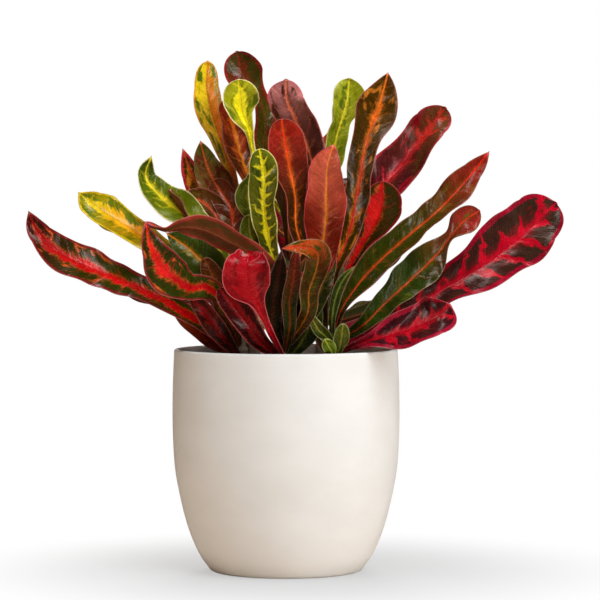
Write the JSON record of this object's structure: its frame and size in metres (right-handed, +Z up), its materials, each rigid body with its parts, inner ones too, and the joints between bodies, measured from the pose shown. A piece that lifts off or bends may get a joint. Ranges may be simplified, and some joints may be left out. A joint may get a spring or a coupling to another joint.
{
  "type": "potted croton",
  "caption": "Bushy croton with long spoon and lance shaped leaves in red, green, yellow and bronze, grown in soil in a rounded off-white ceramic pot that stands on its flat foot.",
  "frame": {"origin": "centre of the pot's flat foot, on the surface that it stands on", "axes": "+Z up along the pot's axis, -Y towards the viewer of the plant's front, +X to that viewer's right"},
  "size_m": [0.3753, 0.2183, 0.3545],
  "materials": {
    "pot": "matte off-white, faintly uneven",
    "soil": "dark crumbly potting soil",
    "left_stem": "glossy leaves, dark green blotched with red and yellow",
    "right_stem": "glossy leaves, crimson broken by dark olive patches",
    "front_stem": "glossy leaves, rose, bronze and veined green",
    "heart_stem": "glossy leaves, olive and lime with pink and yellow ribs",
    "back_left_stem": "glossy leaves, dark green with amber and red ribs",
    "back_right_stem": "glossy leaves, dark green, bronze and crimson",
    "shoot_stem": "satin young leaves, olive green"
  },
  "bodies": {
    "root": {"pot": "pot", "soil": "soil", "left_stem": "left_stem", "right_stem": "right_stem", "front_stem": "front_stem", "heart_stem": "heart_stem", "back_left_stem": "back_left_stem", "back_right_stem": "back_right_stem", "shoot_stem": "shoot_stem"}
  },
  "joints": []
}
